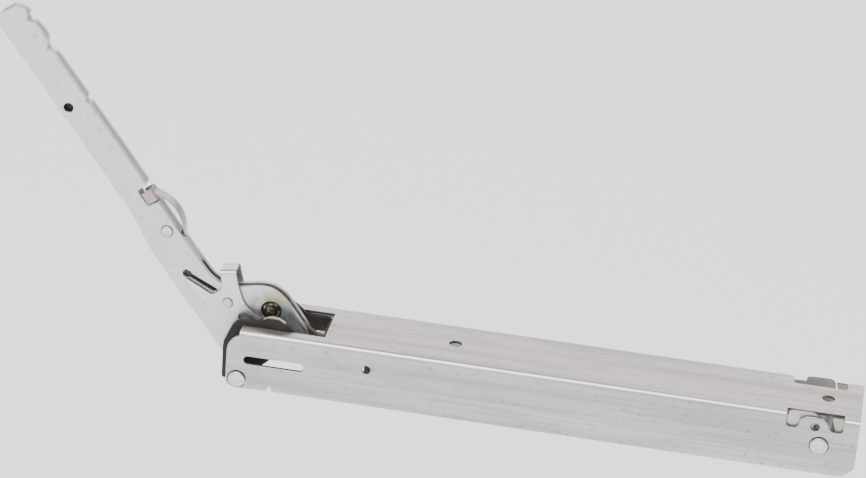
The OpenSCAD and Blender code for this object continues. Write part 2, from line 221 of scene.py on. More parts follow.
def blank(outline, holes, thick, edge):
    """A sheet cut flat in XY, in mm, with its edges broken by that much on both faces."""
    shape = bpy.data.curves.new("blank", "CURVE")
    shape.dimensions = "2D"
    shape.fill_mode = "BOTH"
    shape.extrude = thick / 2 - edge
    shape.bevel_depth = edge
    shape.bevel_resolution = 1
    shape.offset = -edge
    for path in [outline] + list(holes):
        line = shape.splines.new("POLY")
        line.points.add(len(path) - 1)
        for p, q in zip(line.points, path):
            p.co = (q[0], q[1], 0, 1)
        line.use_cyclic_u = True
    carrier = bpy.data.objects.new("blank", shape)
    bpy.context.scene.collection.objects.link(carrier)
    bpy.context.view_layer.update()
    flat = bpy.data.meshes.new_from_object(carrier.evaluated_get(bpy.context.evaluated_depsgraph_get()))
    bm = bmesh.new()
    bm.from_mesh(flat)
    bpy.data.objects.remove(carrier)
    bpy.data.curves.remove(shape)
    bpy.data.meshes.remove(flat)
    bmesh.ops.remove_doubles(bm, verts=bm.verts, dist=1e-4)
    bmesh.ops.recalc_face_normals(bm, faces=bm.faces)
    return bm


def outward(bm):
    """Turns every face of a closed mesh to look outward."""
    bmesh.ops.recalc_face_normals(bm, faces=bm.faces)
    if bm.calc_volume(signed=True) < 0:
        bmesh.ops.reverse_faces(bm, faces=bm.faces)


def shown(name, mesh, finish):
    """Puts a mesh in the scene as a piece of its own."""
    obj = bpy.data.objects.new(name, mesh)
    bpy.context.scene.collection.objects.link(obj)
    mesh.materials.append(finish.mat)
    return obj


def formed(name, bm, thick, edge, to, finish, cut=None, cut_near=()):
    """Takes a blank to its place through to(), in mm. Faces stay flat up to their broken edges.
    The cut finish shows on the sheet's edges: all of them, or those round the places in cut_near."""
    bm.normal_update()
    for f in bm.faces:
        middle = f.calc_center_median()
        close = not cut_near or any((middle.xy - Vector(place)).length < r for place, r in cut_near)
        f.material_index = 1 if cut and close and abs(f.normal.z) < 0.5 else 0
    skin, wall, slack = thick / 2, thick / 2 - edge, 1e-4
    normals, step = [], 0.01
    for v in bm.verts:
        n = v.normal.copy()
        if abs(v.co.z) > skin - slack:
            n = Vector((0, 0, math.copysign(1, v.co.z)))
        elif abs(v.co.z) < wall + slack:
            n.z = 0
            n.normalize()
        start = Vector(to(*v.co))
        normals.append((Vector(to(*(v.co + n * step))) - start).normalized())
        v.co = start * MM
    for f in bm.faces:
        f.smooth = True
    outward(bm)
    mesh = bpy.data.meshes.new(name)
    bm.to_mesh(mesh)
    bm.free()
    mesh.normals_split_custom_set_from_vertices(normals)
    obj = shown(name, mesh, finish)
    if cut:
        mesh.materials.append(cut.mat)
    return obj


class Fold:
    """Two sides folded down from a web: half width outside, sheet thickness, outer fold radius."""

    def __init__(self, half, thick, bend):
        self.half, self.thick, self.bend = half, thick, bend
        self.flat = half - bend
        self.middle = bend - thick / 2
        self.arc = math.pi / 2 * self.middle

    def down(self, depth):
        """Where a depth below the web's outer face lies on the flat blank."""
        if depth < self.bend:
            return self.flat + self.arc * depth / self.bend
        return self.flat + self.arc + depth - self.bend

    def straight(self, depth):
        """The same for a part of the side that stands clear of the fold."""
        return self.flat + self.arc + depth - self.bend

    def cut_lines(self, bm, steps=6):
        """Cuts the blank along its two folds, so that they can be bent round."""
        for side in (-1, 1):
            for k in range(steps + 1):
                line = side * (self.flat + self.arc * k / steps)
                bmesh.ops.bisect_plane(bm, geom=bm.verts[:] + bm.edges[:] + bm.faces[:], dist=1e-5,
                                       plane_co=(0, line, 0), plane_no=(0, 1, 0))

    def bent(self, s, t, n, unfolded=False):
        """Where a point of the blank ends up: along the fold, across it, and height over the web's
        outer face. Unfolded takes the point as part of a side, even if it lies in the fold."""
        side, away = math.copysign(1, t), abs(t)
        outer = n - self.thick / 2
        if unfolded or away > self.flat + self.arc:
            return s, side * (self.half + outer), -(self.bend + away - self.flat - self.arc)
        if away <= self.flat:
            return s, t, outer
        turn = (away - self.flat) / self.middle
        r = self.bend + outer
        return s, side * (self.flat + r * math.sin(turn)), r * math.cos(turn) - self.bend


low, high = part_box("housing_channel")
length, top, foot, front = high.x / MM, high.z / MM, low.z / MM, low.x / MM

galvanised = Finish("galvanised sheet", 0.85, 0.42)
long_streaks = galvanised.grain((0.03, 1, 1), 300, 8)
fine_streaks = galvanised.grain((0.012, 1, 1), 1500, 4)
clouds = galvanised.grain((0.5, 1, 1), 42, 6)
specks = galvanised.grain((0.7, 1, 1), 560, 2)
smudges = galvanised.grain((0.45, 1, 1), 190, 3, start=(0.3, 0.1, 0.2))
bands = galvanised.grain((0.03, 1, 1), 150, 3, start=(0.1, 0.4, 0.3))
height = galvanised.along("Z")
fold_low, fold_mid, flat_top = 0.0238, 0.0245, 0.0254   # up the fold to the flat top
on_top = galvanised.between(height, fold_mid, flat_top)
galvanised.tint(None, (0.50, 0.50, 0.495))
galvanised.tint(galvanised.between(galvanised.spangle(240), 0.2, 0.9, 0.0, 0.3), (0.60, 0.60, 0.595))
# Painted light: the top face is painted lighter and warmer than the walls, as lit from above.
galvanised.tint(on_top, (0.56, 0.50, 0.485))
galvanised.tint(galvanised.between(clouds, 0.45, 0.65, 0.0, 0.6), (0.43, 0.42, 0.41))
galvanised.tint(galvanised.between(bands, 0.48, 0.62, 0.0, 0.75), (0.40, 0.375, 0.365))
galvanised.tint(galvanised.between(long_streaks, 0.5, 0.66, 0.0, 0.7), (0.68, 0.655, 0.645))
galvanised.tint(galvanised.between(fine_streaks, 0.57, 0.7, 0.0, 0.5), (0.33, 0.32, 0.31))
galvanised.tint(galvanised.between(specks, 0.655, 0.70, 0.0, 0.65), (0.24, 0.23, 0.22))
galvanised.tint(galvanised.between(smudges, 0.64, 0.72, 0.0, 0.5), (0.33, 0.32, 0.31))
# A painted highlight along each fold, from its foot up to the flat top.
painted_fold_highlight = galvanised.times(galvanised.between(height, fold_low, fold_low + 0.0006),
                              galvanised.between(height, flat_top - 0.0004, flat_top, 1, 0))
galvanised.tint(painted_fold_highlight, (0.90, 0.89, 0.88))
galvanised.gloss(long_streaks, 0.3, 0.5)
galvanised.relief(fine_streaks, 0.00002).relief(clouds, 0.00015)

# Cut edges of every sheet part: steel torn by the die, painted dark as shade.
shaded_cut_edge = Finish("cut edge painted shade", 0.7, 0.6)
tear = shaded_cut_edge.grain((1, 1, 1), 900, 4)
shaded_cut_edge.tint(None, (0.10, 0.095, 0.09))
shaded_cut_edge.tint(shaded_cut_edge.between(tear, 0.4, 0.65, 0.0, 0.8), (0.22, 0.21, 0.20))
shaded_cut_edge.gloss(tear, 0.5, 0.7)
shaded_cut_edge.relief(tear, 0.00003)

deep = top - foot
sheet_thick, sheet_edge, outer_bend = 1.5, 0.2, 2.2
channel_fold = Fold(high.y / MM, sheet_thick, outer_bend)
down = channel_fold.down
mouth = 0.4                       # the top starts a little behind the walls' front edges
arm_slot, slot_half = 40.2, 12.2  # the arm's slot in the top: its end, and half its width
rear = length - 34                # where the openings for the rear bracket's ears start
foot_t, nick_t = down(deep), down(deep - 2.3)
side = [
    (mouth, down(0), 0), (mouth, down(2.2), 0), (front + 4.8, down(2.6), 1), (front + 3.1, down(3.7), 1.2),
    (front + 1.5, down(5.6), 1.2), (front + 0.4, down(8.1), 1.2), (front, down(10.9), 1.5),
    (front, foot_t, 4), (14.6, foot_t, 0.3), (15, nick_t, 0.5), (16.6, nick_t, 0.5), (17.2, foot_t, 0.3),
    (length - 5, foot_t, 2), (length, down(24.9), 1.2), (length, down(0), 0)]


def both_sides(side, other=None):
    """One outline from a side's points (along, out from the middle, corner size) and their mirror image."""
    return [(x, -t, c) for x, t, c in side] + [(x, t, c) for x, t, c in reversed(other or side)]


outline = both_sides(side) + [
    (mouth, slot_half, 0), (arm_slot, slot_half, 0.3), (arm_slot, -slot_half, 0.3), (mouth, -slot_half, 0)]


def rear_corner(side, inner, start, end):
    """The opening that the rear bracket's ear stands in; a tongue of the wall is left in it."""
    shape = [
        (start, inner, 0.3), (rear, down(2.6), 0.5), (rear, down(7.2), 2.8), (rear + 5.8, down(7.2), 2.8),
        (rear + 6.4, down(2.1), 1.2), (rear + 9, down(1.3), 1.5), (rear + 12, down(1.1), 3),
        (rear + 18.6, down(1.6), 2.4), (rear + 21, down(7.1), 2), (rear + 26.6, down(7.1), 2.4),
        (rear + 26.6, down(2.6), 0.5), (end, inner, 0.3)]
    return eased([(x, side * t, c) for x, t, c in shape])


end_x, end_z = length - 17.5, 10.5   # the rear rivet; the main rivet is at 0, 0
rivet_hole = 4.6                     # the rivets' heads sit in clearance holes
small_hole, screw_hole, screw_x = 2.15, 3.0, (101, 278)
front_hole_x, front_hole_z = 62, 14.9
rear_hole_x, rear_hole_z = length - 20.4, 20
slot_start, slot_end, slot_z, slot_r = 5, 29.8, 10.7, 2.1


def wall_holes(sign):
    """The holes of one wall: main rivet, slot, front hole, rear rivet, rear hole."""
    def at(z):
        return sign * down(top - z)

    slot = long_hole((slot_start, at(slot_z)), (slot_end, at(slot_z)), slot_r)
    return [round_hole(0, at(0), rivet_hole), slot, round_hole(front_hole_x, at(front_hole_z), small_hole),
            round_hole(end_x, at(end_z), rivet_hole), round_hole(rear_hole_x, at(rear_hole_z), small_hole)]


holes = [rear_corner(-1, 14.2, rear, rear + 26.6), rear_corner(1, 10.6, rear + 1.6, rear + 26.2)]
holes += [round_hole(x, 0, screw_hole) for x in screw_x]
holes += wall_holes(-1) + wall_holes(1)
bm = blank(eased(outline), holes, sheet_thick, sheet_edge)
channel_fold.cut_lines(bm)


def channel_place(s, t, n):
    x, y, h = channel_fold.bent(s, t, n)
    return x, y, top + h


channel = formed("channel", bm, sheet_thick, sheet_edge, channel_place, galvanised, shaded_cut_edge)
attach(channel, "housing")
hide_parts("housing_channel")

# ------------------------------------------------------------------ pivot bracket
# A black phosphated pressing inside the channel's mouth: two cheeks joined by a
# web under the top. Their humps stand up beside the link, with a painted highlight along their tops.
phosphated = Finish("phosphated steel", 0.1, 0.55)
phosphated.shader.inputs["Specular IOR Level"].default_value = 0.3
mottle = phosphated.grain((1, 1, 1), 210, 6)
rubbed = phosphated.grain((1, 1, 1), 60, 4)
phosphated.tint(None, (0.020, 0.017, 0.015))
phosphated.tint(phosphated.between(mottle, 0.35, 0.7, 0.0, 0.8), (0.040, 0.035, 0.030))
phosphated.tint(phosphated.between(rubbed, 0.58, 0.72, 0.0, 0.6), (0.075, 0.065, 0.055))
# The faces just under the humps' tops are painted lighter: a painted highlight, broken up by the mottle.
high_up = phosphated.between(phosphated.along("Z"), 0.0308, 0.0314)
past_front = phosphated.between(phosphated.along("X"), 0.009, 0.012)
mottle_breakup = phosphated.between(mottle, 0.2, 0.45, 0.5, 1.0)
hump_top_highlight = phosphated.times(phosphated.times(high_up, past_front), mottle_breakup)
phosphated.tint(hump_top_highlight, (0.42, 0.40, 0.36))
phosphated.gloss(mottle, 0.45, 0.7)
phosphated.relief(mottle, 0.00006)

# The edge along the top of each hump, painted light as a highlight.
hump_edge_highlight = Finish("hump edge painted highlight", 0.6, 0.45)
hump_edge_grain = hump_edge_highlight.grain((1, 1, 1), 300, 4)
hump_edge_highlight.tint(None, (0.62, 0.60, 0.56))
hump_edge_highlight.tint(hump_edge_highlight.between(hump_edge_grain, 0.45, 0.65, 0.0, 0.7), (0.45, 0.42, 0.37))
hump_edge_highlight.gloss(hump_edge_grain, 0.35, 0.55)
hump_edge_highlight.relief(hump_edge_grain, 0.00003)

web_top, cheek_out, bracket_thick, bracket_edge = 23.9, 12, 2, 0.25
pivot_bore = 3.05
bracket_fold = Fold(cheek_out, bracket_thick, 3)
web_front, web_back, slit = 38.6, 60, 38.2


def rise(z):
    """Where a height on a cheek, clear of the web, lies on the blank."""
    return bracket_fold.straight(web_top - z)


tuck = bracket_fold.down(0)       # the web's edge, where its folds start
cheek = [
    (web_front, tuck, 0), (web_front, rise(20.9), 0), (slit, rise(20.9), 0), (slit, rise(23.9), 0.3),
    (29, rise(23.9), 1), (26.5, rise(24.6), 2), (22.6, rise(27.8), 2), (19, rise(30.6), 2.5),
    (15.5, rise(31.8), 3), (12.2, rise(31.2), 2), (9.4, rise(29.2), 1.5), (6.5, rise(28), 2),
    (-1.6, rise(27.9), 2), (-4.6, rise(25.2), 2), (-8.9, rise(15), 2), (-8.9, rise(-4.4), 1.4),
    (7.4, rise(-4.2), 5), (7.4, rise(2.2), 2), (18, rise(12.2), 3), (30, rise(16), 4),
    (web_back, rise(17.6), 3), (web_back, tuck, 0)]
holes = [round_hole(0, sign * rise(0), pivot_bore) for sign in (-1, 1)]
bm = blank(eased(both_sides(cheek)), holes, bracket_thick, bracket_edge)
bracket_fold.cut_lines(bm)


def bracket_place(s, t, n):
    x, y, h = bracket_fold.bent(s, t, n, s < (web_front + slit) / 2)
    return x, y, web_top + h


# The cut edges round the humps' tops take the painted-highlight finish.
humps = [((15.5, sign * rise(30.5)), 5.5) for sign in (-1, 1)]
pivot_bracket = formed("black_bracket", bm, bracket_thick, bracket_edge, bracket_place, phosphated,
                       hump_edge_highlight, humps)
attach(pivot_bracket, "housing")
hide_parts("pivot_bracket")

# ------------------------------------------------------------------ rivets
# Mild steel rivets through the housing, closed by a press that leaves a flat,
# slightly dished head just clear of the wall. The arm's small rivets are made the same way.
rivet_metal = Finish("rivet heads", 0.85, 0.4)
hammered = rivet_metal.grain((1, 1, 1), 620, 4)
rivet_metal.tint(None, (0.74, 0.74, 0.74))
rivet_metal.tint(rivet_metal.between(hammered, 0.45, 0.62, 0.0, 0.7), (0.56, 0.555, 0.55))
rivet_metal.gloss(hammered, 0.3, 0.5)
rivet_metal.relief(hammered, 0.00004)


def lathe(name, profile, place, finish, closed=False, sides=64, shape=None):
    """Turns a profile of (radius, height) round an axis. place() takes a point across and along that
    axis to the part's own mm; shape(angle, radius, height) may alter the radius."""
    bm = bmesh.new()
    rings = []
    for r, h in profile:
        if r == 0:
            rings.append([bm.verts.new(Vector(place(0, 0, h)) * MM)])
            continue
        ring = []
        for k in range(sides):
            a = 2 * math.pi * k / sides
            q = shape(a, r, h) if shape else r
            ring.append(bm.verts.new(Vector(place(q * math.cos(a), q * math.sin(a), h)) * MM))
        rings.append(ring)
    for p, q in zip(rings, rings[1:] + (rings[:1] if closed else [])):
        for k in range(sides):
            m = (k + 1) % sides
            if len(p) == 1:
                bm.faces.new((p[0], q[k], q[m]))
            elif len(q) == 1:
                bm.faces.new((p[k], q[0], p[m]))
            else:
                bm.faces.new((p[k], q[k], q[m], p[m]))
    for f in bm.faces:
        f.smooth = True
    outward(bm)
    mesh = bpy.data.meshes.new(name)
    bm.to_mesh(mesh)
    bm.free()
    obj = shown(name, mesh, finish)
    obj.modifiers.new("flat faces stay flat", "WEIGHTED_NORMAL").keep_sharp = False
    return obj


def across(x, z):
    """An axis that runs across the part at x, z."""
    return lambda a, b, h: (x + a, h, z + b)


def rivet(name, node, x, z, shank, head, seat):
    """A shank with a formed head outside seat (the half width it clamps) on each side."""
    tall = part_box(node)[1].y / MM
    one = [(0, tall - 0.3), (head * 0.6, tall - 0.2), (head * 0.82, tall), (head * 0.93, tall - 0.1),
           (head, tall - 0.4), (head * 0.99, seat + 0.12), (head * 0.9, seat), (shank, seat)]
    profile = [(r, -h) for r, h in one] + [(r, h) for r, h in reversed(one)]
    obj = lathe(name, profile, across(x, z), rivet_metal)
    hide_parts(node)
    return obj


big_shank, big_seat = 3, 18.6
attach(rivet("main_rivet", "pivot_rivet", 0, 0, big_shank, 4.05, big_seat), "housing")
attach(rivet("rear_rivet", "end_rivet", end_x, end_z, big_shank, 4.15, big_seat), "housing")

# ------------------------------------------------------------------ spacers
# Tubes turned from bright bar that ride on the two rivets: they hold the cheeks,
# the arm and the rear bracket apart.
turned_steel = Finish("turned steel", 1.0, 0.35)
lathe_lines = turned_steel.grain((1, 1, 1), 700, 5)
turned_steel.tint(None, (0.40, 0.385, 0.37))
turned_steel.tint(turned_steel.between(lathe_lines, 0.4, 0.7, 0.0, 0.6), (0.24, 0.22, 0.2))
turned_steel.gloss(lathe_lines, 0.25, 0.5)
turned_steel.relief(lathe_lines, 0.00003)


def spacer(name, node, x, z, outer, start, end):
    """A tube on a rivet at x, z, from start to end across the part."""
    bore, c = pivot_bore, 0.25
    profile = [(bore, start + c), (bore + c, start), (outer - c, start), (outer, start + c),
               (outer, end - c), (outer - c, end), (bore + c, end), (bore, end - c)]
    obj = lathe(name, profile, across(x, z), turned_steel, closed=True)
    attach(obj, "housing")
    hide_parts(node)


arm_clear = 3.75                  # the inner spacers stop just short of the arm
for node, outer, inner_end in (
        ("pivot_outer_spacers", 4.4, cheek_out), ("pivot_inner_spacers", 4.5, arm_clear)):
    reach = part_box(node)[1].y / MM
    spacer(f"{node}_near", node, 0, 0, outer, -reach, -inner_end)
    spacer(f"{node}_far", node, 0, 0, outer, inner_end, reach)
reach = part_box("end_spacer")[1].y / MM
spacer("end_spacer_tube", "end_spacer", end_x, end_z, 4.6, -reach, reach)

# ------------------------------------------------------------------ rear bracket
# A U pressed from 1.5 mm sheet, laid in the channel's end with its base at the
# bottom. An ear on each side stands up through the top; the rear rivet holds it.
inner_zinc = Finish("inner zinc", 0.8, 0.45)
inner_clouds = inner_zinc.grain((1, 1, 1), 90, 6)
inner_zinc.tint(None, (0.58, 0.56, 0.54))
inner_zinc.tint(inner_zinc.between(inner_clouds, 0.4, 0.65, 0.0, 0.7), (0.42, 0.40, 0.385))
inner_zinc.gloss(inner_clouds, 0.35, 0.6)
inner_zinc.relief(inner_clouds, 0.00008)

low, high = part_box("end_bracket")
base = low.z / MM
ear_fold = Fold(high.y / MM, sheet_thick, outer_bend)


def lift(z):
    """Where a height on a side lies on the blank."""
    return ear_fold.down(z - base)


def ear_side(shift):
    """One side with its ear and tongue; shift moves the ear's front towards the rear."""
    ear = rear + shift
    return [
        (rear - 2, lift(base), 0), (rear - 2, lift(23.4), 1), (ear + 0.7, lift(23.8), 0.3),
        (ear + 0.9, lift(25.9), 1.2), (ear + 3, lift(26.5), 1), (ear + 12.5, lift(26.6), 1.5),
        (ear + 14.6, lift(25), 1.5), (rear + 21.4, lift(17.4), 0.8), (rear + 23.2, lift(17.4), 0.8),
        (rear + 20.9, lift(25.2), 0.8), (rear + 26.2, lift(25.2), 0.5), (rear + 26.4, lift(23.8), 0.3),
        (rear + 30, lift(23.8), 1), (rear + 30, lift(base), 0)]


holes = []
for sign in (-1, 1):
    holes.append(round_hole(end_x, sign * lift(end_z), pivot_bore))
    holes.append(round_hole(length - 19.6, sign * lift(19.2), 1.6))
bm = blank(eased(both_sides(ear_side(0), ear_side(6))), holes, sheet_thick, sheet_edge)
ear_fold.cut_lines(bm)


def ear_place(s, t, n):
    x, y, h = ear_fold.bent(s, t, n)
    return x, y, base - h


rear_bracket = formed("rear_bracket", bm, sheet_thick, sheet_edge, ear_place, inner_zinc, shaded_cut_edge)
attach(rear_bracket, "housing")
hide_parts("end_bracket")

# ------------------------------------------------------------------ spring seat and rod head
# The seat is a cross plate with turned-back flanges that the spring pushes on.
# The rod head is a forged block, sawn to a fork and pierced with a long eye.


def carried(node, finish, edge):
    """A part whose modelled shape is right as it is: its flat faces are joined up and its edges broken."""
    obj = nodes[node]
    for p in obj.data.polygons:
        p.use_smooth = True
    obj.modifiers.new("weld", "WELD").merge_threshold = 2e-6
    flat = obj.modifiers.new("one face per flat", "DECIMATE")
    flat.decimate_type = "DISSOLVE"
    flat.angle_limit = math.radians(1)
    b = obj.modifiers.new("broken edges", "BEVEL")
    b.width = edge * MM
    b.segments = 2
    b.limit_method = "ANGLE"
    b.angle_limit = math.radians(30)
    obj.modifiers.new("flat faces stay flat", "WEIGHTED_NORMAL").keep_sharp = False
    obj.data.materials.clear()
    obj.data.materials.append(finish.mat)


greasy = Finish("greasy steel", 0.3, 0.4)
dirt = greasy.grain((1, 1, 1), 160, 6)
greasy.tint(None, (0.030, 0.024, 0.018))
greasy.tint(greasy.between(dirt, 0.42, 0.65, 0.0, 0.8), (0.085, 0.068, 0.048))
greasy.gloss(dirt, 0.2, 0.5)
greasy.relief(dirt, 0.0001)
carried("spring_seat", inner_zinc, 0.2)
carried("rod_head", greasy, 0.35)

# ------------------------------------------------------------------ arm
# Two plates of 2 mm steel with a packing plate between them, blanked, riveted
# together and bright zinc plated, so the faces have a cool, slightly blue cloudiness.
ARM_TURN = math.radians(53)
ARM_COS, ARM_SIN = math.cos(ARM_TURN), math.sin(ARM_TURN)


def from_arm(u, v):
    """From along and across the arm to the part's own x and z, in mm."""
    return -u * ARM_COS + v * ARM_SIN, u * ARM_SIN + v * ARM_COS


pin_u, pin_v = 17.2, 28.0
pin_x, pin_z = from_arm(pin_u, pin_v)
arm_zinc = Finish("blue zinc", 0.85, 0.36)
arm_clouds = arm_zinc.grain((1, 1, 1), 55, 5)
arm_streaks = arm_zinc.grain((0.05, 1, 1), 900, 5, ARM_TURN)
arm_marks = arm_zinc.grain((1, 1, 1), 430, 3)
arm_zinc.tint(None, (0.60, 0.635, 0.665))
arm_zinc.tint(arm_zinc.between(arm_clouds, 0.42, 0.62, 0.0, 0.8), (0.72, 0.725, 0.735))
towards_tip = arm_zinc.between(arm_zinc.along("Z"), 0.05, 0.17, 0.0, 0.8)
arm_zinc.tint(towards_tip, (0.76, 0.76, 0.755))
arm_zinc.tint(arm_zinc.between(arm_streaks, 0.55, 0.7, 0.0, 0.5), (0.50, 0.535, 0.57))
arm_zinc.tint(arm_zinc.between(arm_marks, 0.63, 0.69, 0.0, 0.6), (0.30, 0.32, 0.34))
# Old grease has crept out round the link pin. The arm's nose, down under the channel's top, is painted dark
# in streaks as shade.
arm_smears = arm_zinc.between(arm_zinc.grain((1, 1, 0.35), 260, 3), 0.39, 0.53)
grease_spread = arm_zinc.times(arm_zinc.near((pin_x, 0, pin_z), (7, 14)), arm_smears)
arm_zinc.tint(grease_spread, (0.36, 0.34, 0.20))
nose_x, nose_z = from_arm(0, 36)
nose_shade_streaks = arm_zinc.between(arm_zinc.grain((0.12, 1, 1), 700, 4, math.radians(-52)), 0.42, 0.58)
nose_painted_shade = arm_zinc.times(arm_zinc.near((nose_x, 0, nose_z), (2, 9)), nose_shade_streaks)
arm_zinc.tint(nose_painted_shade, (0.20, 0.195, 0.185))
arm_zinc.gloss(arm_clouds, 0.28, 0.46)
arm_zinc.relief(arm_streaks, 0.00002).relief(arm_clouds, 0.0001)


def stand(y, frame_of=from_arm):
    """Stands a plate up across the part with its middle at y."""
    def place(a, b, n):
        x, z = frame_of(a, b)
        return x, y + n, z
    return place


arm_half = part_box("arm_plate_near")[0].y / -MM
plate_thick, plate_edge = 2.0, 0.3
rivet_u, rivet_v = 76.0, 7.0
catch_u, catch_v = 31.2, 12.2
small_shank = 1.55                # holes for the two small rivets
arm_outline = [
    (-5.9, -5.6, 5.6), (-5.9, 3.5, 3), (-2.6, 9, 4), (-2.6, 37.6, 3.5), (20, 37.8, 6), (27, 34.8, 3),
    (31, 29.5, 4), (33.6, 23.5, 4), (37.5, 17, 5), (45, 12.4, 5), (60, 12, 3), (90.6, 12, 0.8),
    (91, 6.4, 0.6), (100, 6.4, 0.6), (100.4, 12, 0.8), (122, 12.2, 2), (147.4, 12, 0.6), (148.2, 10.6, 0.6),
    (149.6, 10.6, 0.6), (150.4, 12.2, 0.8), (176, 12, 1.5), (178.4, 10, 1), (180.8, 10.3, 1),
    (183, 12.6, 2), (188, 13.2, 3), (193.4, 12.2, 1), (194.6, 10.4, 0.8), (196.8, 10.4, 0.8),
    (198, 12.2, 0.8), (201.6, 12, 1.6), (205, 8.5, 1.6), (205.2, -0.4, 1.6), (202.6, -2.6, 1.2),
    (92, -2.6, 8), (72, -6, 8)]
tip_u, tip_v = 151, 2
tip_hole = round_hole(tip_u, tip_v, 2.3)
key_slot = long_hole((53.0, 2.9), (39.4, 9.9), 2.15, 1.1)
plate_holes = [
    round_hole(0, 0, pivot_bore), round_hole(pin_u, pin_v, 4.9), round_hole(catch_u, catch_v, small_shank),
    round_hole(rivet_u, rivet_v, 3.0), tip_hole, key_slot]
# Painted shade: only the cut edges round the slot, the tip hole and the pin hole take the dark cut finish.
shaded_cut_places = [((46, 6.5), 5.3), ((51, 3.5), 5.2), ((tip_u, tip_v), 3), ((pin_u, pin_v), 6)]
for side_name, sign in (("near", -1), ("far", 1)):
    bm = blank(eased(arm_outline), plate_holes, plate_thick, plate_edge)
    middle = stand(sign * (arm_half - plate_thick / 2))
    arm_plate = formed(f"arm_{side_name}", bm, plate_thick, plate_edge, middle, arm_zinc, shaded_cut_edge, shaded_cut_places)
    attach(arm_plate, "arm")
    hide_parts(f"arm_plate_{side_name}")

core_outline = [
    (-5.3, -5, 5), (-5.3, 4.2, 4), (2, 6, 3), (33, 5.6, 3), (38, 11, 3), (44.8, 11.8, 2), (68.6, 11.8, 0.3),
    (68.8, 8, 0.3), (71.4, 8, 0.3), (71.6, 11.7, 0.3), (90.4, 11.7, 0.5), (90.8, 6.1, 0.5), (100.2, 6.1, 0.5),
    (100.6, 11.7, 0.5), (147.4, 11.7, 0.5), (148.2, 10.3, 0.5), (149.6, 10.3, 0.5), (150.4, 11.8, 0.5),
    (176, 11.7, 1), (178.6, 9.6, 1), (180.8, 10, 1), (183, 12.2, 2), (188, 12.8, 3), (193.2, 11.9, 1),
    (194.4, 10.1, 0.6), (197, 10.1, 0.6), (198, 11.8, 0.6), (201.4, 11.7, 1.6), (204.7, 8.4, 1.6),
    (204.8, -0.3, 1.6), (202.5, -2.3, 1.2), (92, -2.3, 8), (72, -5.7, 8)]
core_thick = 2 * (arm_half - plate_thick)
core_zinc = Finish("dull zinc core", 0.8, 0.45)
core_clouds = core_zinc.grain((1, 1, 1), 90, 5)
core_zinc.tint(None, (0.50, 0.53, 0.55))
core_zinc.tint(core_zinc.between(core_clouds, 0.4, 0.65), (0.40, 0.42, 0.44))
for (u, v), reach in (((46, 6.5), (9, 11)), ((tip_u, tip_v), (4, 5))):
    x, z = from_arm(u, v)         # painted shade darkens the core round the slot and the tip hole
    core_zinc.tint(core_zinc.near((x, 0, z), reach), (0.03, 0.028, 0.026))
core_zinc.gloss(core_clouds, 0.35, 0.55)
core_zinc.relief(core_clouds, 0.00005)
core_holes = [round_hole(0, 0, pivot_bore), round_hole(rivet_u, rivet_v, small_shank), tip_hole, key_slot]
bm = blank(eased(core_outline), core_holes, core_thick, 0.1)
core = formed("arm_packing_plate", bm, core_thick, 0.15, stand(0), core_zinc)
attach(core, "arm")
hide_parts("arm_core")

pin_shank, sunk = 1.5, 0.4         # the small rivets' heads are pressed a little way in
rivet_x, rivet_z = from_arm(rivet_u, rivet_v)
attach(rivet("arm_stack_rivet", "arm_rivet", rivet_x, rivet_z, pin_shank, 2.7, arm_half - sunk), "arm")

# ------------------------------------------------------------------ bow spring
# A strip of hardened spring steel: a folded saddle sits in the arm's notch, and the
# strip bows out from it and is tucked in again. Heat treatment has browned it.
straw = Finish("straw spring strip", 0.9, 0.35)
heat = straw.grain((1, 1, 1), 120, 4)
straw.tint(None, (0.50, 0.44, 0.415))
straw.tint(straw.between(heat, 0.4, 0.65, 0.0, 0.8), (0.36, 0.30, 0.28))
straw.gloss(heat, 0.25, 0.45)
straw.relief(heat, 0.00003)

saddle_top, saddle_deep, saddle_thick, saddle_edge = 13.0, 6, 0.8, 0.12
saddle_start, saddle_end = 91.6, 97.8
saddle_fold = Fold(arm_half, saddle_thick, 1.1)
web_t, tab_t = saddle_fold.down(0), saddle_fold.down(saddle_deep)
tab = [(saddle_start, web_t, 0), (saddle_start, tab_t, 0.8), (saddle_end, tab_t, 0.8), (saddle_end, web_t, 0)]
bm = blank(eased(both_sides(tab)), [], saddle_thick, saddle_edge)
saddle_fold.cut_lines(bm)


def saddle_place(s, t, n):
    u, y, h = saddle_fold.bent(s, t, n)
    x, z = from_arm(u, saddle_top + h)
    return x, y, z


saddle = formed("bow_spring_saddle", bm, saddle_thick, saddle_edge, saddle_place, straw)


def swept(name, rings, finish):
    """A solid bar skinned over rings of points, in metres, and closed at both ends."""
    bm = bmesh.new()
    rows = [[bm.verts.new(point) for point in ring] for ring in rings]
    for p, q in zip(rows, rows[1:]):
        for k in range(len(p)):
            m = (k + 1) % len(p)
            bm.faces.new((p[k], p[m], q[m], q[k])).smooth = True
    bm.faces.new(rows[0])
    bm.faces.new(rows[-1])
    outward(bm)
    mesh = bpy.data.meshes.new(name)
    bm.to_mesh(mesh)
    bm.free()
    return shown(name, mesh, finish)


